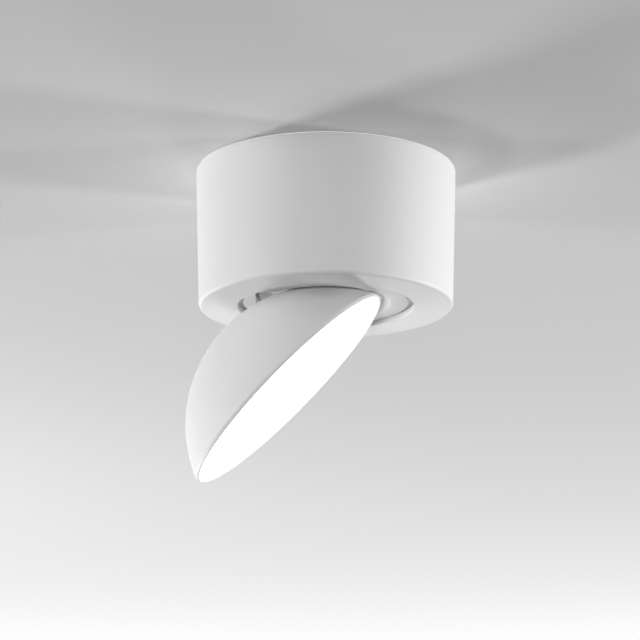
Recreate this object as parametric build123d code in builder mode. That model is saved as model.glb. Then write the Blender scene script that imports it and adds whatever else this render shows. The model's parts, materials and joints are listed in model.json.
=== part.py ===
from build123d import *
import os
from math import cos, radians, sin, sqrt, tan

os.makedirs("parts", exist_ok=True)

# Surface mounted ceiling spotlight with a dome head that tilts out of a turntable.
# Millimetres. The ceiling is the plane z = 0, the housing axis is Z and the body hangs below.
# The head is drawn at its widest tilt, with the diffuser facing +X and down.

# Housing
housing_height = 64.6
housing_top_radius = 60.0
housing_bottom_radius = 58.2
housing_wall = 2.8
housing_floor = 3.0
housing_top_edge = 0.6
housing_bottom_edge = 1.6
aperture_radius = 40.3
aperture_edge = 0.3

# Turntable
face_recess = 1.9
boss_radius = 38.0
boss_chamfer = 0.5
flange_radius = 48.2
flange_thickness = 2.4
slip_ring_thickness = 0.4
seat_clearance = 0.8
keyhole_left = -32.0
keyhole_right = 2.0
keyhole_half_width = 20.0
keyhole_corner = 5.0

# Head
head_radius = 58.7
head_depth = 40.6
rim_band = 1.5
dome_wall = 2.2
rim_thickness = 1.05
rim_edge = 0.35
diffuser_thickness = 2.0
diffuser_recess = 0.2
gasket_thickness = 0.3
tilt_centre_z = -119.8
tilt_angle = 45.0

# Tilt guide, all radii measured from the tilt centre
arm_offset_angle = 20.2
arm_thickness = 5.5
arm_half_width = 8.0
arm_top = 72.0
carriage_half_length = 8.0
carriage_half_width = 11.2
carriage_top = 79.0
pin_circle = 76.0
pin_half_angle = 4.0
pin_radius = 1.5
bush_radius = 2.5
bush_slot_gap = 0.08
stop_gap_angle = 0.3
cheek_inside = 12.0
cheek_thickness = 2.0
cheek_outer = 80.5
cheek_inner = 71.6

# Screws: M3 nearly everywhere, with a few smaller ones in the head
screw_radius = 1.5
screw_hole_radius = 1.55
screw_clear_radius = 1.7
small_screw_radius = 1.1
screw_end_gap = 0.3

# Hexagon heads, as multiples of the thread's radius: across the corners and high
screw_head_ratio = 1.8
screw_head_height_ratio = 1.13

# A running fit, and how far a cut or a joined solid runs past the face that it meets
fit_gap = 0.05
overlap = 1.0

# Places worked out from these
floor_top_z = housing_floor - housing_height
face_z = face_recess - housing_height
flange_bottom_z = floor_top_z + slip_ring_thickness
flange_top_z = flange_bottom_z + flange_thickness
dome_rise = head_depth - rim_band
dome_radius = (head_radius**2 + dome_rise**2) / (2 * dome_rise)
dome_inner_radius = dome_radius - dome_wall
centre_ahead = dome_radius - head_depth
seat_radius = dome_radius + seat_clearance


def taper_radius(z):
    """Outer radius of the housing at height z."""
    return housing_top_radius + (housing_top_radius - housing_bottom_radius) * z / housing_height


# The head's own frame: origin at the centre of the diffuser's face, z along the light, x down its long slope
tilt = radians(tilt_angle)
light_direction = (sin(tilt), 0, -cos(tilt))
disc_centre = (-centre_ahead * sin(tilt), 0, tilt_centre_z + centre_ahead * cos(tilt))
head_frame = Plane(origin=disc_centre, x_dir=(-cos(tilt), 0, -sin(tilt)), z_dir=light_direction)
head_section = Plane(origin=disc_centre, x_dir=(-cos(tilt), 0, -sin(tilt)), z_dir=(0, -1, 0))
head_axis = Axis(disc_centre, light_direction)

# The arm's frame: origin at the tilt centre, z up along the arm, y along the tilt axis
lean = radians(tilt_angle - arm_offset_angle)
arm_direction = (-sin(lean), 0, cos(lean))
tilt_centre = (0, 0, tilt_centre_z)
arm_frame = Plane(origin=tilt_centre, x_dir=(cos(lean), 0, sin(lean)), z_dir=arm_direction)

# Side view through the tilt centre: x stays x, y is the height above that centre
guide_section = Plane(origin=tilt_centre, x_dir=(1, 0, 0), z_dir=(0, -1, 0))


def hex_screws(seat, places, length, thread_radius=screw_radius):
    """Hexagon-head screws: heads stand on the seat plane, shanks go down through it."""
    with BuildPart() as screws:
        with BuildSketch(seat):
            with Locations(*places):
                RegularPolygon(screw_head_ratio * thread_radius, 6)
        extrude(amount=screw_head_height_ratio * thread_radius)
        with BuildSketch(seat):
            with Locations(*places):
                Circle(thread_radius)
        extrude(amount=-length)
    return screws


# ---------------------------------------------------------------- housing
# Bosses and posts stand beside the turntable: three for the retainer ring, three for the tray
boss_circle = 52.2
boss_body_radius = 3.2
washer_room = 0.8
boss_top_z = flange_top_z + washer_room
boss_angles = (90, 210, 330)
post_circle = 52.4
post_body_radius = 3.1
post_angles = (30, 150, 270)
tray_thickness = 1.2
tray_bottom_z = -33.2
tray_top_z = tray_bottom_z + tray_thickness
rib_width = 3.0
rib_reach = 57.0
pilot_depth = 6.0
pilot_spare = 2.0
lug_angles = (90, 210, 330)
lug_inner_radius = 54.0
lug_outer_radius = 57.6
lug_width = 16.0
lug_top_z = -2.6
lug_bottom_z = -7.45
lock_screw_z = -5.0


def polar_points(radius, angles):
    """Points on a circle about the housing axis."""
    return [(radius * cos(radians(a)), radius * sin(radians(a))) for a in angles]


def columns(circle, body_radius, angles):
    """Sketch of round columns, each tied to the housing wall by a rib."""
    rib_length = rib_reach - circle
    with Locations(*polar_points(circle, angles)):
        Circle(body_radius)
    for angle in angles:
        place = Location(Plane.XY.rotated((0, 0, angle)))
        with Locations(place * Location((circle + rib_length / 2, 0, 0))):
            Rectangle(rib_length, rib_width)


with BuildPart() as housing_shell:
    with BuildSketch(Plane.XZ) as cup:
        with BuildLine():
            Polyline(
                (housing_top_radius - housing_wall, 0),
                (housing_top_radius, 0),
                (housing_bottom_radius, -housing_height),
                (aperture_radius, -housing_height),
                (aperture_radius, floor_top_z),
                (taper_radius(floor_top_z) - housing_wall, floor_top_z),
                close=True,
            )
        make_face()
        chamfer(cup.vertices().sort_by_distance((housing_top_radius, 0))[0], housing_top_edge)
        bottom_corner = cup.vertices().sort_by_distance((housing_bottom_radius, -housing_height))[0]
        fillet(bottom_corner, housing_bottom_edge)
        chamfer(cup.vertices().sort_by_distance((aperture_radius, -housing_height))[0], aperture_edge)
    revolve(axis=Axis.Z)
    with BuildSketch(Plane.XY.offset(floor_top_z)):
        columns(boss_circle, boss_body_radius, boss_angles)
    extrude(amount=boss_top_z - floor_top_z)
    with BuildSketch(Plane.XY.offset(floor_top_z)):
        columns(post_circle, post_body_radius, post_angles)
    extrude(amount=tray_bottom_z - floor_top_z)
    with BuildSketch(Plane.XY.offset(lug_bottom_z)):
        with PolarLocations(lug_outer_radius, len(lug_angles), start_angle=lug_angles[0]):
            Rectangle(2 * (lug_outer_radius - lug_inner_radius + overlap), lug_width)
        Circle(lug_outer_radius, mode=Mode.INTERSECT)
        Circle(lug_inner_radius, mode=Mode.SUBTRACT)
    extrude(amount=lug_top_z - lug_bottom_z)
    with BuildSketch(Plane.XY.offset(boss_top_z)):
        with Locations(*polar_points(boss_circle, boss_angles)):
            Circle(screw_hole_radius)
    extrude(amount=-(boss_top_z - floor_top_z), mode=Mode.SUBTRACT)
    with BuildSketch(Plane.XY.offset(tray_bottom_z)):
        with Locations(*polar_points(post_circle, post_angles)):
            Circle(screw_hole_radius)
    extrude(amount=-pilot_depth - pilot_spare, mode=Mode.SUBTRACT)
    with BuildSketch(Plane.XZ.offset(-housing_top_radius)):
        with Locations((0, lock_screw_z)):
            Circle(screw_hole_radius)
    extrude(amount=housing_top_radius - lug_inner_radius + overlap, mode=Mode.SUBTRACT)
housing_shell.part.label = "housing_shell"
export_step(housing_shell.part, "parts/housing_shell.step")

# ---------------------------------------------------------------- ceiling plate
plate_radius = 53.5
plate_thickness = 1.5
hook_width = 12.0
hook_thickness = 1.5
hook_lip_top_z = -7.5
hook_lip_radius = 55.8
fixing_spacing = 75.0
fixing_slot_length = 12.0
fixing_slot_radius = 2.25
cable_hole_radius = 8.0
earth_place = (-24.0, 24.0)

with BuildPart() as mounting_plate:
    with BuildSketch(Plane.XY.offset(-plate_thickness)):
        Circle(plate_radius)
        Circle(cable_hole_radius, mode=Mode.SUBTRACT)
        with GridLocations(fixing_spacing, 0, 2, 1):
            SlotOverall(fixing_slot_length, 2 * fixing_slot_radius, mode=Mode.SUBTRACT)
        with Locations(earth_place):
            Circle(screw_hole_radius, mode=Mode.SUBTRACT)
    extrude(amount=plate_thickness)
    with BuildSketch(Plane.XY.offset(hook_lip_top_z - hook_thickness)):
        with PolarLocations(plate_radius, len(lug_angles), start_angle=lug_angles[0]):
            Rectangle(2 * hook_thickness, hook_width)
        Circle(plate_radius, mode=Mode.INTERSECT)
    extrude(amount=-hook_lip_top_z)
    with BuildSketch(Plane.XY.offset(hook_lip_top_z - hook_thickness)):
        with PolarLocations(plate_radius, len(lug_angles), start_angle=lug_angles[0]):
            Rectangle(2 * (hook_lip_radius - plate_radius + overlap), hook_width)
        Circle(hook_lip_radius, mode=Mode.INTERSECT)
        Circle(plate_radius - hook_thickness, mode=Mode.SUBTRACT)
    extrude(amount=hook_thickness)
mounting_plate.part.label = "mounting_plate"
export_step(mounting_plate.part, "parts/mounting_plate.step")

grommet_bore = 4.5
grommet_flange_radius = 10.5
grommet_flange_slope = 1.0
grommet_flange_z = -3.4

with BuildPart() as cable_grommet:
    with BuildSketch(Plane.XZ):
        with BuildLine():
            Polyline(
                (grommet_bore, 0),
                (cable_hole_radius - fit_gap, 0),
                (cable_hole_radius - fit_gap, -plate_thickness),
                (grommet_flange_radius, -plate_thickness),
                (grommet_flange_radius - grommet_flange_slope, grommet_flange_z),
                (grommet_bore, grommet_flange_z),
                close=True,
            )
        make_face()
    revolve(axis=Axis.Z)
cable_grommet.part.label = "cable_grommet"
export_step(cable_grommet.part, "parts/cable_grommet.step")

# The earthing screw's head is on the plate's underside
earth_seat = Plane(origin=(0, 0, -plate_thickness), x_dir=(1, 0, 0), z_dir=(0, 0, -1))
earth_screw = hex_screws(earth_seat, [(earth_place[0], -earth_place[1])], plate_thickness - screw_end_gap)
earth_screw.part.label = "earth_screw"
export_step(earth_screw.part, "parts/earth_screw.step")

lock_screw_outer = 59.3
lock_screw_inner = 53.5
lock_socket_radius = 0.9
lock_socket_depth = 1.5

with BuildPart() as lock_screw:
    with BuildSketch(Plane.XZ.offset(-lock_screw_outer)):
        with Locations((0, lock_screw_z)):
            Circle(screw_radius)
    extrude(amount=lock_screw_outer - lock_screw_inner)
    with BuildSketch(Plane.XZ.offset(-lock_screw_outer)):
        with Locations((0, lock_screw_z)):
            RegularPolygon(lock_socket_radius, 6)
    extrude(amount=lock_socket_depth, mode=Mode.SUBTRACT)
lock_screw.part.label = "lock_screw"
export_step(lock_screw.part, "parts/lock_screw.step")

# ---------------------------------------------------------------- driver tray
tray_radius = 53.6
tray_ear_radius = 2.9
lead_hole_radius = 6.0
lead_bush_wall = 2.0
lead_bush_lip = 1.2
driver_length = 60.0
driver_width = 32.0
driver_height = 15.0
driver_corner = 2.0
driver_y = -26.0
driver_ear_length = 7.0
driver_ear_width = 10.0
driver_ear_thickness = 2.0
driver_lid_thickness = 2.0
driver_lid_edge = 0.8
driver_slot_reach = 3.0
driver_slot_width = 12.0
driver_slot_depth = 6.0
driver_ear_screw_x = driver_length / 2 + driver_ear_length / 2
block_length = 30.0
block_width = 14.0
block_height = 12.0
block_y = 26.0
block_pitch = 9.0
block_foot_length = 6.5
block_foot_height = 2.0
block_screw_x = block_length / 2 + block_foot_length / 2
carrier_screw_tail = 1.0
carrier_screw_places = [
    (-driver_ear_screw_x, driver_y),
    (driver_ear_screw_x, driver_y),
    (-block_screw_x, block_y),
    (block_screw_x, block_y),
]

with BuildPart() as driver_tray:
    with BuildSketch(Plane.XY.offset(tray_bottom_z)):
        Circle(tray_radius)
        with Locations(*polar_points(post_circle, post_angles)):
            Circle(tray_ear_radius)
            Circle(screw_clear_radius, mode=Mode.SUBTRACT)
        Circle(lead_hole_radius, mode=Mode.SUBTRACT)
        with Locations(*carrier_screw_places):
            Circle(screw_hole_radius, mode=Mode.SUBTRACT)
    extrude(amount=tray_thickness)
driver_tray.part.label = "driver_tray"
export_step(driver_tray.part, "parts/driver_tray.step")

tray_screws = hex_screws(
    Plane.XY.offset(tray_top_z), polar_points(post_circle, post_angles), tray_thickness + pilot_depth
)
tray_screws.part.label = "tray_screws"
export_step(tray_screws.part, "parts/tray_screws.step")

with BuildPart() as lead_bush:
    with BuildSketch(Plane.XZ):
        with BuildLine():
            Polyline(
                (lead_hole_radius - lead_bush_wall, tray_bottom_z - lead_bush_lip),
                (lead_hole_radius - fit_gap, tray_bottom_z - lead_bush_lip),
                (lead_hole_radius - fit_gap, tray_top_z),
                (lead_hole_radius + lead_bush_wall, tray_top_z),
                (lead_hole_radius + lead_bush_wall, tray_top_z + lead_bush_lip),
                (lead_hole_radius - lead_bush_wall, tray_top_z + lead_bush_lip),
                close=True,
            )
        make_face()
    revolve(axis=Axis.Z)
lead_bush.part.label = "lead_bush"
export_step(lead_bush.part, "parts/lead_bush.step")

with BuildPart() as driver_case:
    with BuildSketch(Plane.XY.offset(tray_top_z)):
        with Locations((0, driver_y)):
            RectangleRounded(driver_length, driver_width, driver_corner)
    extrude(amount=driver_height)
    with BuildSketch(Plane.XY.offset(tray_top_z)):
        with Locations((0, driver_y)):
            Rectangle(driver_length + 2 * driver_ear_length, driver_ear_width)
        with Locations((-driver_ear_screw_x, driver_y), (driver_ear_screw_x, driver_y)):
            Circle(screw_clear_radius, mode=Mode.SUBTRACT)
    extrude(amount=driver_ear_thickness)
    # Wire slots at both ends
    with BuildSketch(Plane.XY.offset(tray_top_z + driver_height)):
        with Locations((-driver_length / 2, driver_y), (driver_length / 2, driver_y)):
            Rectangle(2 * driver_slot_reach, driver_slot_width)
    extrude(amount=-driver_slot_depth, mode=Mode.SUBTRACT)
driver_case.part.label = "driver_case"
export_step(driver_case.part, "parts/driver_case.step")

with BuildPart() as driver_lid:
    with BuildSketch(Plane.XY.offset(tray_top_z + driver_height)):
        with Locations((0, driver_y)):
            RectangleRounded(driver_length, driver_width, driver_corner)
    extrude(amount=driver_lid_thickness)
    chamfer(driver_lid.edges().group_by(Axis.Z)[-1], driver_lid_edge)
driver_lid.part.label = "driver_lid"
export_step(driver_lid.part, "parts/driver_lid.step")

wire_entry_size = 3.8
wire_entry_rise = 4.0
terminal_well_radius = 2.4
terminal_well_depth = 5.0
terminal_screw_recess = 1.5
terminal_slot_length = 5.0
terminal_slot_width = 0.8
terminal_slot_depth = 1.0

with BuildPart() as terminal_block:
    with BuildSketch(Plane.XY.offset(tray_top_z)):
        with Locations((0, block_y)):
            Rectangle(block_length, block_width)
    extrude(amount=block_height)
    with BuildSketch(Plane.XY.offset(tray_top_z)):
        with Locations((0, block_y)):
            Rectangle(block_length + 2 * block_foot_length, block_width / 2)
        with Locations((-block_screw_x, block_y), (block_screw_x, block_y)):
            Circle(screw_clear_radius, mode=Mode.SUBTRACT)
    extrude(amount=block_foot_height)
    with BuildSketch(Plane.XZ.offset(-block_y - block_width / 2)):
        with Locations((0, tray_top_z + wire_entry_rise)):
            with GridLocations(block_pitch, 0, 3, 1):
                Rectangle(wire_entry_size, wire_entry_size)
    extrude(amount=block_width, mode=Mode.SUBTRACT)
    with BuildSketch(Plane.XY.offset(tray_top_z + block_height)):
        with Locations((0, block_y)):
            with GridLocations(block_pitch, 0, 3, 1):
                Circle(terminal_well_radius)
    extrude(amount=-terminal_well_depth, mode=Mode.SUBTRACT)
terminal_block.part.label = "terminal_block"
export_step(terminal_block.part, "parts/terminal_block.step")

with BuildPart() as terminal_screws:
    with BuildSketch(Plane.XY.offset(tray_top_z + block_height - terminal_well_depth)):
        with Locations((0, block_y)):
            with GridLocations(block_pitch, 0, 3, 1):
                Circle(terminal_well_radius - 2 * fit_gap)
    extrude(amount=terminal_well_depth - terminal_screw_recess)
    with BuildSketch(Plane.XY.offset(tray_top_z + block_height - terminal_screw_recess)):
        with Locations((0, block_y)):
            with GridLocations(block_pitch, 0, 3, 1):
                Rectangle(terminal_slot_length, terminal_slot_width)
    extrude(amount=-terminal_slot_depth, mode=Mode.SUBTRACT)
terminal_screws.part.label = "terminal_screws"
export_step(terminal_screws.part, "parts/terminal_screws.step")

carrier_screws = hex_screws(
    Plane.XY.offset(tray_top_z + driver_ear_thickness),
    carrier_screw_places,
    driver_ear_thickness + tray_thickness + carrier_screw_tail,
)
carrier_screws.part.label = "carrier_screws"
export_step(carrier_screws.part, "parts/carrier_screws.step")

# ---------------------------------------------------------------- pan bearing
slip_ring_inner = 41.3
slip_ring_outer = 47.9
retainer_inner = 45.8
retainer_outer = 48.9
retainer_thickness = 2.0
retainer_ear_radius = 3.0
retainer_thread_length = 3.0
retainer_top_z = boss_top_z + retainer_thickness
washer_inner = 45.9
washer_outer = 48.1
washer_thickness = 0.25
stop_pin_radius = 1.0
stop_pin_circle = 47.35
stop_pin_top_z = -52.6
stop_pin_chamfer = 0.3

with BuildPart() as slip_ring:
    with BuildSketch(Plane.XY.offset(floor_top_z)):
        Circle(slip_ring_outer)
        Circle(slip_ring_inner, mode=Mode.SUBTRACT)
    extrude(amount=slip_ring_thickness)
slip_ring.part.label = "slip_ring"
export_step(slip_ring.part, "parts/slip_ring.step")

# The washer is coned: its inner edge bears on the retainer ring, its outer edge on the flange
with BuildPart() as spring_washer:
    with BuildSketch(Plane.XZ):
        with BuildLine():
            Polyline(
                (washer_outer, flange_top_z + fit_gap),
                (washer_outer, flange_top_z + fit_gap + washer_thickness),
                (washer_inner, boss_top_z),
                (washer_inner, boss_top_z - washer_thickness),
                close=True,
            )
        make_face()
    revolve(axis=Axis.Z)
spring_washer.part.label = "spring_washer"
export_step(spring_washer.part, "parts/spring_washer.step")

with BuildPart() as retainer_ring:
    with BuildSketch(Plane.XY.offset(boss_top_z)):
        Circle(retainer_outer)
        for angle in boss_angles:
            place = Location(Plane.XY.rotated((0, 0, angle)))
            with Locations(place * Location(((retainer_inner + boss_circle) / 2, 0, 0))):
                Rectangle(boss_circle - retainer_inner, 2 * retainer_ear_radius)
        with Locations(*polar_points(boss_circle, boss_angles)):
            Circle(retainer_ear_radius)
            Circle(screw_clear_radius, mode=Mode.SUBTRACT)
        Circle(retainer_inner, mode=Mode.SUBTRACT)
        with Locations((0, -stop_pin_circle)):
            Circle(stop_pin_radius + fit_gap, mode=Mode.SUBTRACT)
    extrude(amount=retainer_thickness)
retainer_ring.part.label = "retainer_ring"
export_step(retainer_ring.part, "parts/retainer_ring.step")

retainer_screws = hex_screws(
    Plane.XY.offset(retainer_top_z),
    polar_points(boss_circle, boss_angles),
    retainer_thickness + retainer_thread_length,
)
retainer_screws.part.label = "retainer_screws"
export_step(retainer_screws.part, "parts/retainer_screws.step")

with BuildPart() as pan_stop_pin:
    with BuildSketch(Plane.XY.offset(boss_top_z)):
        with Locations((0, -stop_pin_circle)):
            Circle(stop_pin_radius)
    extrude(amount=stop_pin_top_z - boss_top_z)
    chamfer(pan_stop_pin.edges().group_by(Axis.Z)[-1], stop_pin_chamfer)
pan_stop_pin.part.label = "pan_stop_pin"
export_step(pan_stop_pin.part, "parts/pan_stop_pin.step")

# ---------------------------------------------------------------- turntable
nose_half_width = 2.5
nose_inner = 41.0
nose_post_outer = 45.0
nose_outer = 48.8
nose_gap = 0.6
nose_height = 2.5
nose_bottom_z = retainer_top_z + nose_gap
nose_top_z = nose_bottom_z + nose_height
foot_left = (-39.5, -33.5)
foot_right = (29.0, 36.0)
foot_outer = 21.4
foot_screw_y = 18.4
foot_screw_places = [
    (x, y) for x in (sum(foot_left) / 2, sum(foot_right) / 2) for y in (-foot_screw_y, foot_screw_y)
]
foot_pilot_depth = 2.1
arm_slot_gap = 0.9
arm_slot_half_width = arm_half_width + arm_slot_gap
arm_slot_wall_angle = 23.3
face_height = face_z - tilt_centre_z
deck_height = flange_top_z - tilt_centre_z
slot_low = face_height - overlap
slot_high = deck_height + overlap

with BuildPart() as turntable:
    with BuildSketch(Plane.XZ):
        with BuildLine():
            Polyline(
                (0, face_z),
                (boss_radius - boss_chamfer, face_z),
                (boss_radius, face_z + boss_chamfer),
                (boss_radius, flange_bottom_z),
                (flange_radius, flange_bottom_z),
                (flange_radius, flange_top_z),
                (0, flange_top_z),
                close=True,
            )
        make_face()
    revolve(axis=Axis.Z)
    # Stop nose: a post inside the retainer ring with a beak that reaches over it
    with BuildSketch(Plane.XY.offset(flange_top_z)):
        with Locations((0, (nose_inner + nose_post_outer) / 2)):
            Rectangle(2 * nose_half_width, nose_post_outer - nose_inner)
    extrude(amount=nose_top_z - flange_top_z)
    with BuildSketch(Plane.XY.offset(nose_bottom_z)):
        with Locations((0, (nose_inner + nose_outer) / 2)):
            Rectangle(2 * nose_half_width, nose_outer - nose_inner)
    extrude(amount=nose_top_z - nose_bottom_z)
    # Dished seat round the dome
    with Locations(tilt_centre):
        Sphere(seat_radius, mode=Mode.SUBTRACT)
    # Wide end of the keyhole, which lets the carriage through when the head is fitted
    with BuildSketch(Plane.XY.offset(face_z)):
        with Locations(((keyhole_left + keyhole_right) / 2, 0)):
            RectangleRounded(keyhole_right - keyhole_left, 2 * keyhole_half_width, keyhole_corner)
    extrude(amount=flange_top_z - face_z, mode=Mode.SUBTRACT)
    # Narrow end, where the arm travels, with an end wall that points at the tilt centre
    with BuildSketch(guide_section):
        with BuildLine():
            Polyline(
                (0, slot_low),
                (slot_low * tan(radians(arm_slot_wall_angle)), slot_low),
                (slot_high * tan(radians(arm_slot_wall_angle)), slot_high),
                (0, slot_high),
                close=True,
            )
        make_face()
    extrude(amount=arm_slot_half_width, both=True, mode=Mode.SUBTRACT)
    with BuildSketch(Plane.XY.offset(flange_top_z)):
        with Locations(*foot_screw_places):
            Circle(screw_hole_radius)
    extrude(amount=-foot_pilot_depth, mode=Mode.SUBTRACT)
turntable.part.label = "turntable"
export_step(turntable.part, "parts/turntable.step")

# ---------------------------------------------------------------- curved guides
slot_angle_low = 90 - arm_offset_angle - pin_half_angle - stop_gap_angle
slot_angle_size = tilt_angle + 2 * (pin_half_angle + stop_gap_angle)
slot_height = 2 * (bush_radius + bush_slot_gap)
cheek_overhang = 2.0
cheek_left = foot_left[0] - cheek_overhang
cheek_right = foot_right[1]

for side_name, side in (("near", -1), ("far", 1)):
    inside_y = side * cheek_inside
    cheek_plane = Plane(origin=(0, inside_y, tilt_centre_z), x_dir=(1, 0, 0), z_dir=(0, -1, 0))
    with BuildPart() as guide_cheek:
        with BuildSketch(cheek_plane):
            with BuildLine():
                outer_arc = ThreePointArc(
                    (cheek_left, sqrt(cheek_outer**2 - cheek_left**2)),
                    (0, cheek_outer),
                    (cheek_right, sqrt(cheek_outer**2 - cheek_right**2)),
                )
                inner_arc = ThreePointArc(
                    (foot_left[1], sqrt(cheek_inner**2 - foot_left[1] ** 2)),
                    (0, cheek_inner),
                    (foot_right[0], sqrt(cheek_inner**2 - foot_right[0] ** 2)),
                )
                right_foot_line = ((cheek_right, deck_height), (foot_right[0], deck_height))
                left_foot_line = ((cheek_left, deck_height), (foot_left[1], deck_height))
                Polyline(outer_arc @ 1, *right_foot_line, inner_arc @ 1)
                Polyline(outer_arc @ 0, *left_foot_line, inner_arc @ 0)
            make_face()
            with BuildLine(mode=Mode.PRIVATE):
                slot_path = CenterArc((0, 0), pin_circle, slot_angle_low, slot_angle_size)
            SlotArc(slot_path, slot_height, mode=Mode.SUBTRACT)
        extrude(amount=-side * cheek_thickness)
        # Feet bent outwards
        foot_width = foot_outer - cheek_inside
        with BuildSketch(Plane.XY.offset(flange_top_z)):
            for foot in (foot_left, foot_right):
                with Locations((sum(foot) / 2, side * (cheek_inside + foot_width / 2))):
                    Rectangle(foot[1] - foot[0], foot_width)
                with Locations((sum(foot) / 2, side * foot_screw_y)):
                    Circle(screw_clear_radius, mode=Mode.SUBTRACT)
        extrude(amount=cheek_thickness)
    guide_cheek.part.label = "guide_cheek_" + side_name
    export_step(guide_cheek.part, "parts/guide_cheek_" + side_name + ".step")

cheek_screws = hex_screws(
    Plane.XY.offset(flange_top_z + cheek_thickness),
    foot_screw_places,
    cheek_thickness + foot_pilot_depth - 2 * fit_gap,
)
cheek_screws.part.label = "cheek_screws"
export_step(cheek_screws.part, "parts/cheek_screws.step")

# ---------------------------------------------------------------- tilt arm and carriage
arm_pad_radius = 16.5
arm_pad_face = 58.5
arm_flange_thickness = 2.5
arm_flange_size = 24.0
arm_flange_corner = 3.0
arm_corner = 1.0
arm_pilot_depth = 2.8
arm_thread_depth = 6.0
arm_screw_pitch = 16.4
arm_hole_gap = 0.25
lead_slot_thickness = 2.6
lead_slot_width = 7.0
carriage_screw_y = 5.8
pin_x = pin_circle * sin(radians(pin_half_angle))
pin_z = pin_circle * cos(radians(pin_half_angle))

with BuildPart() as tilt_arm:
    with BuildSketch(arm_frame.offset(arm_pad_face - arm_flange_thickness)):
        RectangleRounded(arm_flange_size, arm_flange_size, arm_flange_corner)
        with GridLocations(arm_screw_pitch, arm_screw_pitch, 2, 2):
            Circle(screw_clear_radius, mode=Mode.SUBTRACT)
    extrude(amount=arm_flange_thickness)
    with BuildSketch(arm_frame.offset(arm_pad_face)):
        RectangleRounded(arm_thickness, 2 * arm_half_width, arm_corner)
    extrude(amount=arm_top - arm_pad_face)
    with BuildSketch(arm_frame.offset(arm_pad_face - arm_flange_thickness)):
        SlotOverall(lead_slot_width, lead_slot_thickness, rotation=90)
    extrude(amount=arm_top, mode=Mode.SUBTRACT)
    with BuildSketch(arm_frame.offset(arm_top)):
        with GridLocations(0, 2 * carriage_screw_y, 1, 2):
            Circle(small_screw_radius + fit_gap)
    extrude(amount=-arm_thread_depth, mode=Mode.SUBTRACT)
tilt_arm.part.label = "tilt_arm"
export_step(tilt_arm.part, "parts/tilt_arm.step")

arm_screw_seat = Plane(
    origin=arm_frame.offset(arm_pad_face - arm_flange_thickness).origin,
    x_dir=arm_frame.x_dir,
    z_dir=-arm_frame.z_dir,
)
half_pitch = arm_screw_pitch / 2
arm_screws = hex_screws(
    arm_screw_seat,
    [(x, y) for x in (-half_pitch, half_pitch) for y in (-half_pitch, half_pitch)],
    arm_flange_thickness + arm_pilot_depth - screw_end_gap,
)
arm_screws.part.label = "arm_screws"
export_step(arm_screws.part, "parts/arm_screws.step")

with BuildPart() as carriage:
    with BuildSketch(arm_frame.offset(arm_top)):
        Rectangle(2 * carriage_half_length, 2 * carriage_half_width)
        SlotOverall(lead_slot_width, lead_slot_thickness, rotation=90, mode=Mode.SUBTRACT)
        with GridLocations(0, 2 * carriage_screw_y, 1, 2):
            Circle(small_screw_radius + fit_gap, mode=Mode.SUBTRACT)
    extrude(amount=carriage_top - arm_top)
    with BuildSketch(Plane(origin=tilt_centre, x_dir=arm_frame.x_dir, z_dir=(0, -1, 0))):
        with Locations((-pin_x, pin_z), (pin_x, pin_z)):
            Circle(pin_radius + fit_gap)
    extrude(amount=carriage_half_width, both=True, mode=Mode.SUBTRACT)
carriage.part.label = "carriage"
export_step(carriage.part, "parts/carriage.step")

carriage_screws = hex_screws(
    arm_frame.offset(carriage_top),
    [(0, -carriage_screw_y), (0, carriage_screw_y)],
    carriage_top - arm_top + arm_thread_depth - screw_end_gap,
    small_screw_radius,
)
carriage_screws.part.label = "carriage_screws"
export_step(carriage_screws.part, "parts/carriage_screws.step")

# Pins cross the carriage and both slots: headed at one end, with a spring clip in a groove at the other
pin_side_gap = 0.35
pin_head_y = cheek_inside + cheek_thickness + pin_side_gap
pin_head_radius = 2.9
pin_head_height = 1.0
clip_y = pin_head_y + fit_gap
clip_thickness = 0.5
clip_radius = 2.9
groove_radius = 1.1
pin_tail = 0.9
pin_end_y = clip_y + clip_thickness + pin_tail

with BuildPart() as guide_pins:
    for pin_side in (-pin_x, pin_x):
        pin_centre = arm_frame.from_local_coords((pin_side, 0, pin_z))
        pin_plane = Plane(origin=pin_centre, x_dir=(0, 1, 0), z_dir=arm_frame.x_dir)
        with BuildSketch(pin_plane):
            with BuildLine():
                Polyline(
                    (-pin_head_y - pin_head_height, 0),
                    (-pin_head_y - pin_head_height, pin_head_radius),
                    (-pin_head_y, pin_head_radius),
                    (-pin_head_y, pin_radius),
                    (clip_y - fit_gap, pin_radius),
                    (clip_y - fit_gap, groove_radius),
                    (clip_y + clip_thickness + fit_gap, groove_radius),
                    (clip_y + clip_thickness + fit_gap, pin_radius),
                    (pin_end_y, pin_radius),
                    (pin_end_y, 0),
                    close=True,
                )
            make_face()
        revolve(axis=Axis(pin_centre, (0, 1, 0)))
guide_pins.part.label = "guide_pins"
export_step(guide_pins.part, "parts/guide_pins.step")

with BuildPart() as pin_clips:
    with BuildSketch(Plane(origin=(0, clip_y, tilt_centre_z), x_dir=arm_frame.x_dir, z_dir=(0, -1, 0))):
        with Locations((-pin_x, pin_z), (pin_x, pin_z)):
            Circle(clip_radius)
            Circle(groove_radius + fit_gap, mode=Mode.SUBTRACT)
    extrude(amount=-clip_thickness)
pin_clips.part.label = "pin_clips"
export_step(pin_clips.part, "parts/pin_clips.step")

bush_proud = 0.2
bush_inner_y = cheek_inside + fit_gap
bush_length = cheek_thickness + bush_proud

with BuildPart() as slot_bushes:
    for side in (-1, 1):
        bush_plane = Plane(
            origin=(0, side * bush_inner_y, tilt_centre_z), x_dir=arm_frame.x_dir, z_dir=(0, -1, 0)
        )
        with BuildSketch(bush_plane):
            with Locations((-pin_x, pin_z), (pin_x, pin_z)):
                Circle(bush_radius)
                Circle(pin_radius + fit_gap, mode=Mode.SUBTRACT)
        extrude(amount=-side * bush_length)
slot_bushes.part.label = "slot_bushes"
export_step(slot_bushes.part, "parts/slot_bushes.step")

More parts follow.
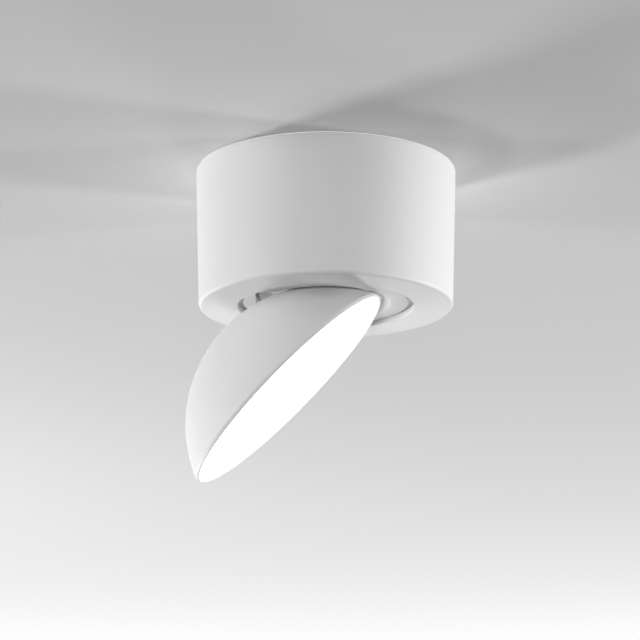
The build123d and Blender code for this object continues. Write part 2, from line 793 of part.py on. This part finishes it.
liner_half_length = 7.0
liner_low = 73.2
liner_high = 78.8

with BuildPart() as friction_liners:
    for side in (-1, 1):
        liner_plane = Plane(
            origin=(0, side * carriage_half_width, tilt_centre_z), x_dir=arm_frame.x_dir, z_dir=(0, -1, 0)
        )
        with BuildSketch(liner_plane):
            with Locations((0, (liner_low + liner_high) / 2)):
                Rectangle(2 * liner_half_length, liner_high - liner_low)
            with Locations((-pin_x, pin_z), (pin_x, pin_z)):
                Circle(pin_radius + fit_gap, mode=Mode.SUBTRACT)
        extrude(amount=-side * (cheek_inside - carriage_half_width - fit_gap))
friction_liners.part.label = "friction_liners"
export_step(friction_liners.part, "parts/friction_liners.step")

# ---------------------------------------------------------------- head
recess_radius = head_radius - rim_thickness
ledge_depth = diffuser_recess + diffuser_thickness + gasket_thickness
ledge_inner_radius = sqrt(dome_inner_radius**2 - (centre_ahead + ledge_depth) ** 2)
sink_post_circle = 42.5
sink_post_radius = 3.0
sink_post_angles = (0, 120, 240)
sink_pilot_depth = 5.0
sink_thread_length = 4.0
board_screw_end_gap = 1.0
sink_back = -16.0
sink_front = -13.0
sink_radius = 45.0
fin_height = 6.0
fin_thickness = 1.6
fin_pitch = 5.2
fin_count = 13
fin_circle = 38.0
board_radius = 38.0
board_front = -11.4
board_screw_circle = 35.2
board_screw_angles = (60, 180, 300)
board_lead_radius = 3.0
tray_ring_inner = 32.0
tray_ring_outer = 38.4
tray_wall = 1.0
tray_mouth_radius = 54.4
tray_mouth_depth = -3.0
chip_size = 3.0
chip_height = 0.7
chip_rings = ((10.0, 6), (19.5, 12), (28.0, 18))
diffuser_gap = 0.15
diffuser_chamfer = 0.3

with BuildPart() as head_shell:
    # The pad for the arm and the posts for the heat sink stand on the inside of the dome
    with BuildSketch(arm_frame.offset(arm_pad_face)):
        Circle(arm_pad_radius)
    extrude(amount=dome_radius - arm_pad_face)
    with BuildSketch(head_frame.offset(sink_back)):
        with Locations(*polar_points(sink_post_circle, sink_post_angles)):
            Circle(sink_post_radius)
    extrude(amount=-head_depth)
    with Locations(tilt_centre):
        Sphere(dome_radius - dome_wall / 2, mode=Mode.INTERSECT)
    with BuildSketch(head_section) as bowl:
        with BuildLine():
            outside = TangentArc((0, -head_depth), (head_radius, -rim_band), tangent=(1, 0))
            ledge_corner = (ledge_inner_radius, -ledge_depth)
            inside = TangentArc((0, dome_wall - head_depth), ledge_corner, tangent=(1, 0))
            Polyline(
                outside @ 1,
                (head_radius, 0),
                (recess_radius, 0),
                (recess_radius, -ledge_depth),
                inside @ 1,
            )
            Line(inside @ 0, outside @ 0)
        make_face()
        fillet(bowl.vertices().sort_by_distance((head_radius, 0))[0], rim_edge)
    revolve(axis=head_axis)
    with BuildSketch(arm_frame.offset(arm_pad_face)):
        arm_hole_width = 2 * (arm_half_width + arm_hole_gap)
        RectangleRounded(arm_thickness + 2 * arm_hole_gap, arm_hole_width, arm_corner + arm_hole_gap)
    extrude(amount=head_depth, mode=Mode.SUBTRACT)
    with BuildSketch(arm_frame.offset(arm_pad_face)):
        with GridLocations(arm_screw_pitch, arm_screw_pitch, 2, 2):
            Circle(screw_hole_radius)
    extrude(amount=arm_pilot_depth, mode=Mode.SUBTRACT)
    with BuildSketch(head_frame.offset(sink_back)):
        with Locations(*polar_points(sink_post_circle, sink_post_angles)):
            Circle(screw_hole_radius)
    extrude(amount=-sink_pilot_depth, mode=Mode.SUBTRACT)
head_shell.part.label = "head_shell"
export_step(head_shell.part, "parts/head_shell.step")

with BuildPart() as heat_sink:
    with BuildSketch(head_frame.offset(sink_back)):
        Circle(sink_radius)
        Circle(board_lead_radius, mode=Mode.SUBTRACT)
        with Locations(*polar_points(sink_post_circle, sink_post_angles)):
            Circle(screw_clear_radius, mode=Mode.SUBTRACT)
        with Locations(*polar_points(board_screw_circle, board_screw_angles)):
            Circle(small_screw_radius + fit_gap, mode=Mode.SUBTRACT)
    extrude(amount=sink_front - sink_back)
    with BuildSketch(head_frame.offset(sink_back)):
        with GridLocations(fin_pitch, 0, fin_count, 1):
            Rectangle(fin_thickness, 2 * fin_circle)
        Circle(fin_circle, mode=Mode.INTERSECT)
        Circle(board_lead_radius, mode=Mode.SUBTRACT)
    extrude(amount=-fin_height)
heat_sink.part.label = "heat_sink"
export_step(heat_sink.part, "parts/heat_sink.step")

heat_sink_screws = hex_screws(
    head_frame.offset(sink_front),
    polar_points(sink_post_circle, sink_post_angles),
    sink_front - sink_back + sink_thread_length,
)
heat_sink_screws.part.label = "heat_sink_screws"
export_step(heat_sink_screws.part, "parts/heat_sink_screws.step")

with BuildPart() as led_board:
    with BuildSketch(head_frame.offset(sink_front)):
        Circle(board_radius)
        Circle(board_lead_radius, mode=Mode.SUBTRACT)
        with Locations(*polar_points(board_screw_circle, board_screw_angles)):
            Circle(small_screw_radius + fit_gap, mode=Mode.SUBTRACT)
    extrude(amount=board_front - sink_front)
led_board.part.label = "led_board"
export_step(led_board.part, "parts/led_board.step")

with BuildPart() as led_chips:
    with BuildSketch(head_frame.offset(board_front)):
        for ring_radius, count in chip_rings:
            with PolarLocations(ring_radius, count):
                Rectangle(chip_size, chip_size)
    extrude(amount=chip_height)
led_chips.part.label = "led_chips"
export_step(led_chips.part, "parts/led_chips.step")

with BuildPart() as mixing_tray:
    with BuildSketch(head_section):
        with BuildLine():
            Polyline(
                (tray_ring_inner, board_front),
                (tray_ring_outer, board_front),
                (tray_mouth_radius, tray_mouth_depth - tray_wall),
                (tray_mouth_radius, tray_mouth_depth),
                (tray_mouth_radius - tray_wall, tray_mouth_depth),
                (tray_ring_outer - tray_wall / 2, board_front + tray_wall),
                (tray_ring_inner, board_front + tray_wall),
                close=True,
            )
        make_face()
    revolve(axis=head_axis)
    with BuildSketch(head_frame.offset(board_front)):
        with Locations(*polar_points(board_screw_circle, board_screw_angles)):
            Circle(small_screw_radius + fit_gap)
    extrude(amount=tray_wall, mode=Mode.SUBTRACT)
mixing_tray.part.label = "mixing_tray"
export_step(mixing_tray.part, "parts/mixing_tray.step")

board_screws = hex_screws(
    head_frame.offset(board_front + tray_wall),
    polar_points(board_screw_circle, board_screw_angles),
    tray_wall + board_front - sink_back - board_screw_end_gap,
    small_screw_radius,
)
board_screws.part.label = "board_screws"
export_step(board_screws.part, "parts/board_screws.step")

with BuildPart() as diffuser_gasket:
    with BuildSketch(head_frame.offset(-ledge_depth)):
        Circle(recess_radius - diffuser_gap)
        Circle(ledge_inner_radius + diffuser_gap, mode=Mode.SUBTRACT)
    extrude(amount=gasket_thickness)
diffuser_gasket.part.label = "diffuser_gasket"
export_step(diffuser_gasket.part, "parts/diffuser_gasket.step")

with BuildPart() as diffuser:
    with BuildSketch(head_frame.offset(gasket_thickness - ledge_depth)):
        Circle(recess_radius - diffuser_gap)
    extrude(amount=diffuser_thickness)
    front_edge = diffuser.edges().sort_by(head_axis)[-1]
    chamfer(front_edge, diffuser_chamfer)
diffuser.part.label = "diffuser"
export_step(diffuser.part, "parts/diffuser.step")
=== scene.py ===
import json
import math

import bmesh
import bpy
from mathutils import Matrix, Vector


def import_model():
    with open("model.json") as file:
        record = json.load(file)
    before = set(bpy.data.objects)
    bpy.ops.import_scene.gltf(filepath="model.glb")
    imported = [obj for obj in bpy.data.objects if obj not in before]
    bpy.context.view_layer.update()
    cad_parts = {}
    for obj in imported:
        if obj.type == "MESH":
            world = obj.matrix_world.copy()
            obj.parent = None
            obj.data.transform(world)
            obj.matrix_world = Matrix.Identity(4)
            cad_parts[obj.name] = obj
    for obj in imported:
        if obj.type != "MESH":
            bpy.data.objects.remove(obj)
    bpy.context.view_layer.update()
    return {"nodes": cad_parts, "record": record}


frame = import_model()

# ---------------------------------------------------------------- camera
# The light is seen from below and in front, with the ceiling above it.
# Metres and degrees, with the lens and the sensor in millimetres.
CAMERA_PLACE = (-0.002725, -1.2549, -0.3998)
CAMERA_PITCH_UP = 14.70
CAMERA_LENS = 159.6
CAMERA_SENSOR = 36.0
CAMERA_CLIP_START = 0.01

camera_data = bpy.data.cameras.new("camera")
camera_data.lens = CAMERA_LENS
camera_data.sensor_width = CAMERA_SENSOR
camera_data.clip_start = CAMERA_CLIP_START
camera = bpy.data.objects.new("camera", camera_data)
camera.location = CAMERA_PLACE
camera.rotation_euler = (math.radians(90 + CAMERA_PITCH_UP), 0, 0)
bpy.context.scene.collection.objects.link(camera)
bpy.context.scene.camera = camera
bpy.context.scene.view_settings.view_transform = "Standard"


# ---------------------------------------------------------------- node helpers
# Most of a noise's values lie between these two
NOISE_LOW = 0.3
NOISE_HIGH = 0.7
NOISE_ROUGHNESS = 0.5


def grey(value, warmth=0.0):
    """A colour of one grey, a little warmer or cooler."""
    return (value * (1 + warmth), value, value * (1 - warmth), 1.0)


def shaded(colour, share):
    """A colour at a share of its brightness."""
    return tuple(channel * share for channel in colour[:3]) + (1.0,)


class Tree:
    """The node tree of a material or of the world."""

    def __init__(self, owner):
        owner.use_nodes = True
        self.nodes = owner.node_tree.nodes
        self.links = owner.node_tree.links

    def feed(self, socket, value):
        """Links an output to the socket, or sets the socket to a constant."""
        if isinstance(value, bpy.types.NodeSocket):
            self.links.new(value, socket)
        else:
            socket.default_value = value

    def node(self, kind, settings=None, **inputs):
        """A new node. An underscore in the name of an input stands for a space."""
        node = self.nodes.new(kind)
        for key, value in (settings or {}).items():
            setattr(node, key, value)
        for key, value in inputs.items():
            self.feed(node.inputs[key.replace("_", " ")], value)
        return node

    def calculate(self, operation, first, second):
        """One operation on two numbers."""
        node = self.node("ShaderNodeMath", {"operation": operation})
        self.feed(node.inputs[0], first)
        self.feed(node.inputs[1], second)
        return node.outputs["Value"]

    def length(self, vector):
        """The length of a vector."""
        node = self.node("ShaderNodeVectorMath", {"operation": "LENGTH"}, Vector=vector)
        return node.outputs["Value"]

    def ramp(self, value, start, end, low=0.0, high=1.0, curve="LINEAR"):
        """Goes from low at start to high at end, and stays level beyond them."""
        settings = {"interpolation_type": curve}
        node = self.node("ShaderNodeMapRange", settings, Value=value, From_Min=start, From_Max=end,
                         To_Min=low, To_Max=high)
        return node.outputs["Result"]

    def blend(self, factor, first, second):
        """Mixes two colours."""
        node = self.node("ShaderNodeMix", {"data_type": "RGBA"})
        for name, value in (("Factor", factor), ("A", first), ("B", second)):
            wanted = [socket for socket in node.inputs if socket.name == name and socket.enabled][0]
            self.feed(wanted, value)
        return [socket for socket in node.outputs if socket.enabled][0]

    def blend_shaders(self, factor, first, second):
        """Mixes two shaders."""
        node = self.node("ShaderNodeMixShader", Fac=factor)
        self.feed(node.inputs[1], first)
        self.feed(node.inputs[2], second)
        return node.outputs["Shader"]

    def seen_directly(self):
        """1 for rays from the camera and for reflected and refracted ones, 0 for those that only light
        things."""
        path = self.node("ShaderNodeLightPath").outputs
        reflected = self.calculate("MAXIMUM", path["Is Camera Ray"], path["Is Glossy Ray"])
        return self.calculate("MAXIMUM", reflected, path["Is Transmission Ray"])


class Finish(Tree):
    """A material's node tree, built around one Principled shader."""

    def __init__(self, name, **constants):
        self.material = bpy.data.materials.new(name)
        super().__init__(self.material)
        self.shader = self.nodes["Principled BSDF"]
        self.place = self.node("ShaderNodeTexCoord").outputs["Object"]
        self.set(**constants)

    def set(self, **inputs):
        """Gives inputs of the shader a value. An underscore in a name stands for a space."""
        for key, value in inputs.items():
            self.feed(self.shader.inputs[key.replace("_", " ")], value)

    def noise(self, size, detail=2.0, place=None):
        """Noise whose features are about size metres across, from 0 to 1."""
        node = self.node("ShaderNodeTexNoise", Vector=place or self.place, Scale=1 / size, Detail=detail,
                         Roughness=NOISE_ROUGHNESS)
        return node.outputs["Fac"]

    def cells(self, size):
        """Voronoi grains about size metres across, each with its own grey."""
        node = self.node("ShaderNodeTexVoronoi", Vector=self.place, Scale=1 / size)
        return self.node("ShaderNodeSeparateColor", Color=node.outputs["Color"]).outputs["Red"]

    def stretched(self, scale):
        """Object coordinates scaled along each axis."""
        return self.node("ShaderNodeMapping", Vector=self.place, Scale=scale).outputs["Vector"]

    def spread(self, noise, low, high):
        """Spreads most of a noise over a range."""
        return self.ramp(noise, NOISE_LOW, NOISE_HIGH, low, high)

    def total(self, first, second, share):
        """first plus a share of second."""
        return self.calculate("ADD", first, self.calculate("MULTIPLY", second, share))

    def bump(self, height, depth):
        """Relief of depth metres from a 0 to 1 height."""
        node = self.node("ShaderNodeBump", Height=height, Distance=depth, Strength=1.0)
        self.set(Normal=node.outputs["Normal"])


# ---------------------------------------------------------------- finishes
# A SIZE is how large the features of a texture are and a DEPTH is how deep its relief is, in metres.
PEEL_SIZE = 0.0011
PEEL_DEPTH = 0.00001
GRAIN_SIZE = 0.00028
CLOUD_SIZE = 0.035
COAT_ROUGHNESS = (0.44, 0.56)
# The turntable's boss is 38.0 mm in radius. The running face outside it is painted a darker grey, as
# painted shade of the gap round the turntable.
SHADE_RING_START = 0.0379
SHADE_RING_EDGE = 0.0002

ROLLED_SIZE = 0.0006
ROLLED_SCALE = (1, 12, 1)
ROLLED_DEPTH = 0.000006
PATCH_SIZE = 0.018
SHEET_ROUGHNESS = (0.28, 0.45)

TURNED_SIZE = 0.00025
TURNED_SCALE = (1, 1, 6)
TURNED_DEPTH = 0.000005
STAIN_SIZE = 0.004

MOULD_SIZE = 0.0005
MOULD_DEPTH = 0.00001
TONE_SIZE = 0.012

HAZE_SIZE = 0.02
HAZE_WARMTH = 0.004
GLOW_COLOUR = (1.0, 0.995, 0.98, 1.0)
GLOW_STRENGTH = 1.4


def powder_coat(name, level):
    """Matt white powder coat: fine orange peel, tiny grain and a faint cloudiness."""
    finish = Finish(name, Metallic=0.0, Specular_IOR_Level=0.4)
    peel = finish.noise(PEEL_SIZE, detail=1.0)
    grain = finish.noise(GRAIN_SIZE, detail=1.0)
    cloud = finish.noise(CLOUD_SIZE)
    finish.set(
        Base_Color=finish.blend(cloud, grey(level * 0.985), grey(level * 1.01)),
        Roughness=finish.spread(finish.total(peel, grain, 0.5), *COAT_ROUGHNESS),
    )
    finish.bump(finish.total(peel, grain, 0.35), PEEL_DEPTH)
    return finish


def turntable_coat_with_painted_shade(name, level, painted_shade_level):
    """Powder coat, with the running face that shows as a ring in the gap round the turntable painted a
    darker grey as painted shade of that gap.
    """
    finish = powder_coat(name, level)
    coated = finish.shader.inputs["Base Color"].links[0].from_socket
    # Painted shade: outside the boss's radius the coat turns a darker grey, standing in for the shadow in
    # the gap.
    reach = finish.length(finish.stretched((1, 1, 0)))
    painted_shade = finish.ramp(reach, SHADE_RING_START, SHADE_RING_START + SHADE_RING_EDGE)
    finish.set(Base_Color=finish.blend(painted_shade, coated, grey(painted_shade_level)))
    return finish


def sheet_metal(name, level, spangle):
    """Zinc plated sheet: soft spangle, rolling marks and a few dull patches."""
    finish = Finish(name, Metallic=1.0)
    crystals = finish.cells(spangle)
    rolled = finish.noise(ROLLED_SIZE, place=finish.stretched(ROLLED_SCALE))
    patches = finish.noise(PATCH_SIZE, detail=3.0)
    tone = finish.total(crystals, rolled, 0.4)
    finish.set(
        Base_Color=finish.blend(tone, grey(level * 0.82, -0.015), grey(level * 1.1, 0.01)),
        Roughness=finish.spread(patches, *SHEET_ROUGHNESS),
    )
    finish.bump(rolled, ROLLED_DEPTH)
    return finish


def turned_metal(name, colour, roughness):
    """Small screws and pins: fine turning marks and slight stains."""
    finish = Finish(name, Metallic=1.0)
    marks = finish.noise(TURNED_SIZE, place=finish.stretched(TURNED_SCALE))
    stain = finish.noise(STAIN_SIZE, detail=3.0)
    finish.set(
        Base_Color=finish.blend(stain, shaded(colour, 0.8), colour),
        Roughness=finish.spread(marks, roughness * 0.8, roughness * 1.3),
    )
    finish.bump(marks, TURNED_DEPTH)
    return finish


def moulded_plastic(name, colour, roughness, texture=MOULD_SIZE):
    """Moulded plastic with a fine spark-eroded texture."""
    finish = Finish(name, Metallic=0.0)
    fine = finish.noise(texture, detail=1.0)
    tone = finish.noise(TONE_SIZE)
    finish.set(
        Base_Color=finish.blend(tone, shaded(colour, 0.94), colour),
        Roughness=finish.spread(fine, roughness * 0.9, roughness * 1.1),
    )
    finish.bump(fine, MOULD_DEPTH)
    return finish


def lit_diffuser(name):
    """Opal acrylic lit from behind, evenly white but for a faint haze."""
    finish = Finish(name, Roughness=0.35, Specular_IOR_Level=0.4)
    haze = finish.noise(HAZE_SIZE, detail=1.0)
    finish.set(
        Base_Color=finish.blend(haze, grey(0.84, HAZE_WARMTH), grey(0.86, HAZE_WARMTH)),
        Emission_Color=GLOW_COLOUR,
        Emission_Strength=GLOW_STRENGTH,
    )
    return finish


FINISHES = {
    "housing_paint": powder_coat("housing_paint", level=0.82),
    # The turntable's coat carries a painted shade ring on its running face.
    "turntable_paint": turntable_coat_with_painted_shade("turntable_paint", level=0.84, painted_shade_level=0.56),
    "head_paint": powder_coat("head_paint", level=0.82),
    "zinc_sheet": sheet_metal("zinc_sheet", level=0.62, spangle=0.005),
    "spring_steel": turned_metal("spring_steel", grey(0.35), roughness=0.3),
    "screw_steel": turned_metal("screw_steel", grey(0.62), roughness=0.3),
    "pin_steel": turned_metal("pin_steel", grey(0.7), roughness=0.2),
    "brass_screws": turned_metal("brass_screws", (0.75, 0.56, 0.25, 1.0), roughness=0.3),
    "arm_metal": powder_coat("arm_metal", level=0.76),
    "sink_metal": sheet_metal("sink_metal", level=0.7, spangle=0.002),
    "black_rubber": moulded_plastic("black_rubber", grey(0.03), roughness=0.6),
    "driver_plastic": moulded_plastic("driver_plastic", grey(0.78, 0.01), roughness=0.5),
    "terminal_plastic": moulded_plastic("terminal_plastic", grey(0.8, 0.03), roughness=0.4),
    "sliding_plastic": moulded_plastic("sliding_plastic", grey(0.8, 0.01), roughness=0.3),
    "liner_plastic": moulded_plastic("liner_plastic", grey(0.1), roughness=0.5),
    "board_white": moulded_plastic("board_white", grey(0.8), roughness=0.35, texture=0.001),
    "chip_yellow": moulded_plastic("chip_yellow", (0.8, 0.6, 0.15, 1.0), roughness=0.4),
    "reflector_white": moulded_plastic("reflector_white", grey(0.85), roughness=0.5),
    "opal_diffuser": lit_diffuser("opal_diffuser"),
}

for subpart in frame["record"]["subparts"]:
    node = frame["nodes"][subpart["node"]]
    node.data.materials.clear()
    node.data.materials.append(FINISHES[subpart["material_slot"]].material)

# ---------------------------------------------------------------- ceiling
# Metres. The hole's edge lies over the housing's wall, so that it doesn't show from below.
CEILING_REACH = 8.0
CEILING_HOLE = 0.0595
CEILING_LEVEL = 0.0002
CEILING_STEPS = 96
FADE_START = 0.35
FADE_END = 1.6
CEILING_GREY = 0.76
CEILING_ROUGHNESS = 0.9


def ceiling_ring():
    """A flat ring that faces down."""
    shape = bmesh.new()
    rings = []
    for radius in (CEILING_HOLE, CEILING_REACH):
        angles = [math.tau * step / CEILING_STEPS for step in range(CEILING_STEPS)]
        points = [(radius * math.cos(angle), radius * math.sin(angle), CEILING_LEVEL) for angle in angles]
        rings.append([shape.verts.new(point) for point in points])
    inner, outer = rings
    for step in range(CEILING_STEPS):
        after = (step + 1) % CEILING_STEPS
        shape.faces.new((inner[step], inner[after], outer[after], outer[step]))
    shape.normal_update()
    mesh = bpy.data.meshes.new("ceiling")
    shape.to_mesh(mesh)
    shape.free()
    return mesh


def ceiling_coat():
    """Pale paint that fades to white far off and is clear from above."""
    material = bpy.data.materials.new("ceiling")
    tree = Tree(material)
    shader = tree.nodes["Principled BSDF"]
    tree.feed(shader.inputs["Base Color"], grey(CEILING_GREY))
    tree.feed(shader.inputs["Roughness"], CEILING_ROUGHNESS)
    tree.feed(shader.inputs["Specular IOR Level"], 0.0)
    side = tree.node("ShaderNodeNewGeometry").outputs
    fade = tree.ramp(tree.length(side["Position"]), FADE_START, FADE_END, curve="SMOOTHSTEP")
    share = tree.calculate("MULTIPLY", fade, tree.seen_directly())
    white = tree.node("ShaderNodeEmission").outputs["Emission"]
    clear = tree.node("ShaderNodeBsdfTransparent").outputs["BSDF"]
    below = tree.blend_shaders(share, shader.outputs["BSDF"], white)
    shown = tree.blend_shaders(side["Backfacing"], below, clear)
    tree.feed(tree.nodes["Material Output"].inputs["Surface"], shown)
    return material


def ceiling():
    """A pale ceiling that fades to white far off. It shows only from below and is open over the plate, so
    that the plate can be seen and lit from above."""
    mesh = ceiling_ring()
    mesh.materials.append(ceiling_coat())
    plane = bpy.data.objects.new("ceiling", mesh)
    bpy.context.scene.collection.objects.link(plane)


# ---------------------------------------------------------------- light
# Metres. The soft lamps face a point a little below the housing's underside.
LAMP_DISTANCE = 1.4
LAMP_WIDTH = 0.24
LAMP_HEIGHT = 0.22
LAMP_AIM = Vector((0, 0, -0.07))
CHAMBER_LAMP_RADIUS = 0.003


def lamp(name, kind, place, power, **settings):
    """Adds a lamp of so many watts to the scene."""
    data = bpy.data.lights.new(name, kind)
    data.energy = power
    for key, value in settings.items():
        setattr(data, key, value)
    made = bpy.data.objects.new(name, data)
    made.location = place
    bpy.context.scene.collection.objects.link(made)
    return made


def soft_light(name, azimuth, drop, power):
    """A rectangular lamp that faces LAMP_AIM. Azimuth 0 is the camera's side, positive to the right, and
    drop is how far it stands below that point's level, in degrees."""
    around, below = math.radians(azimuth), math.radians(drop)
    level = math.cos(below)
    away = Vector((level * math.sin(around), -level * math.cos(around), -math.sin(below)))
    made = lamp(name, "AREA", LAMP_AIM + LAMP_DISTANCE * away, power, shape="RECTANGLE", size=LAMP_WIDTH,
                size_y=LAMP_HEIGHT)
    made.rotation_euler = (-away).to_track_quat("-Z", "Y").to_euler()


def top_light(name, height, size, power):
    """A square lamp straight over the plate, for the views from above."""
    lamp(name, "AREA", (0, 0, height), power, size=size)


def chamber_light(name, place, power):
    """A faint fill inside the swivel chamber, so that the gap over the head isn't black."""
    made = lamp(name, "POINT", place, power, shadow_soft_size=CHAMBER_LAMP_RADIUS)
    made.visible_camera = False


def world(level):
    """An even grey light all round, which is white to the camera, in reflections and through glass."""
    scene_world = bpy.data.worlds.new("world")
    tree = Tree(scene_world)
    light = tree.nodes["Background"]
    tree.feed(light.inputs["Color"], grey(level))
    white = tree.node("ShaderNodeBackground", Color=grey(1.0)).outputs["Background"]
    shown = tree.blend_shaders(tree.seen_directly(), light.outputs["Background"], white)
    tree.feed(tree.nodes["World Output"].inputs["Surface"], shown)
    bpy.context.scene.world = scene_world


ceiling()
soft_light("light_right", azimuth=110, drop=12, power=9.5)
soft_light("light_right_front", azimuth=76, drop=8, power=7.0)
soft_light("light_left", azimuth=-80, drop=5, power=9.2)
soft_light("light_back_left", azimuth=-135, drop=26, power=7.8)
soft_light("light_below_left", azimuth=-140, drop=60, power=2.4)
soft_light("light_back", azimuth=174, drop=30, power=2.0)
soft_light("light_front", azimuth=0, drop=6, power=3.6)
top_light("light_above", height=1.2, size=0.6, power=1.1)
chamber_light("light_chamber_near", (0, -0.030, -0.045), power=0.008)
chamber_light("light_chamber_far", (0, 0.030, -0.045), power=0.008)
world(level=0.07)
